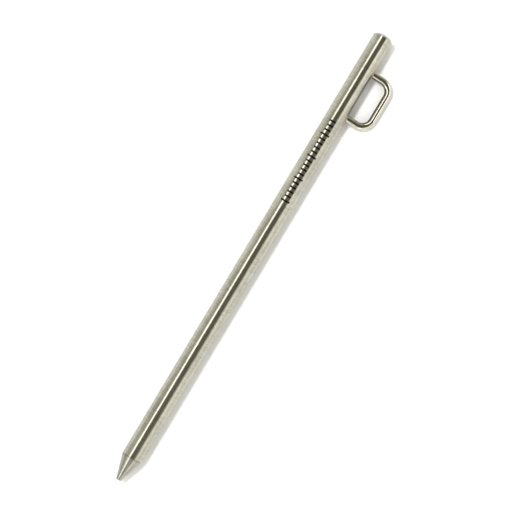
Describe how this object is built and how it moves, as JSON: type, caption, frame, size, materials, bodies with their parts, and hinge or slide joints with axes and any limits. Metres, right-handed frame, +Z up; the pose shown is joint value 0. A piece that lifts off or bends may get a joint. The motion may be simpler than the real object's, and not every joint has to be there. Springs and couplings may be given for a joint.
{
  "type": "tent stake",
  "caption": "Round steel tent stake with a turned blunt point, a chamfered head to hammer and a welded wire loop for the guy rope.",
  "frame": {"origin": "middle of the base of the bounding box: half way along the stake, on the surface that it lies on", "axes": "+X along the bar towards the head, +Y away from the rope loop, +Z up from the surface that the stake lies on"},
  "size_m": [0.2, 0.0186, 0.008],
  "materials": {
    "shaft_steel": "ground round the bar, bright with a faint straw tint beside the welds",
    "loop_steel": "drawn wire, bright",
    "weld_steel": "as welded, brushed clean, dull"
  },
  "bodies": {
    "root": {"shaft": "shaft_steel", "rope_loop": "loop_steel", "weld_bead_head_side": "weld_steel", "weld_bead_point_side": "weld_steel"}
  },
  "joints": []
}
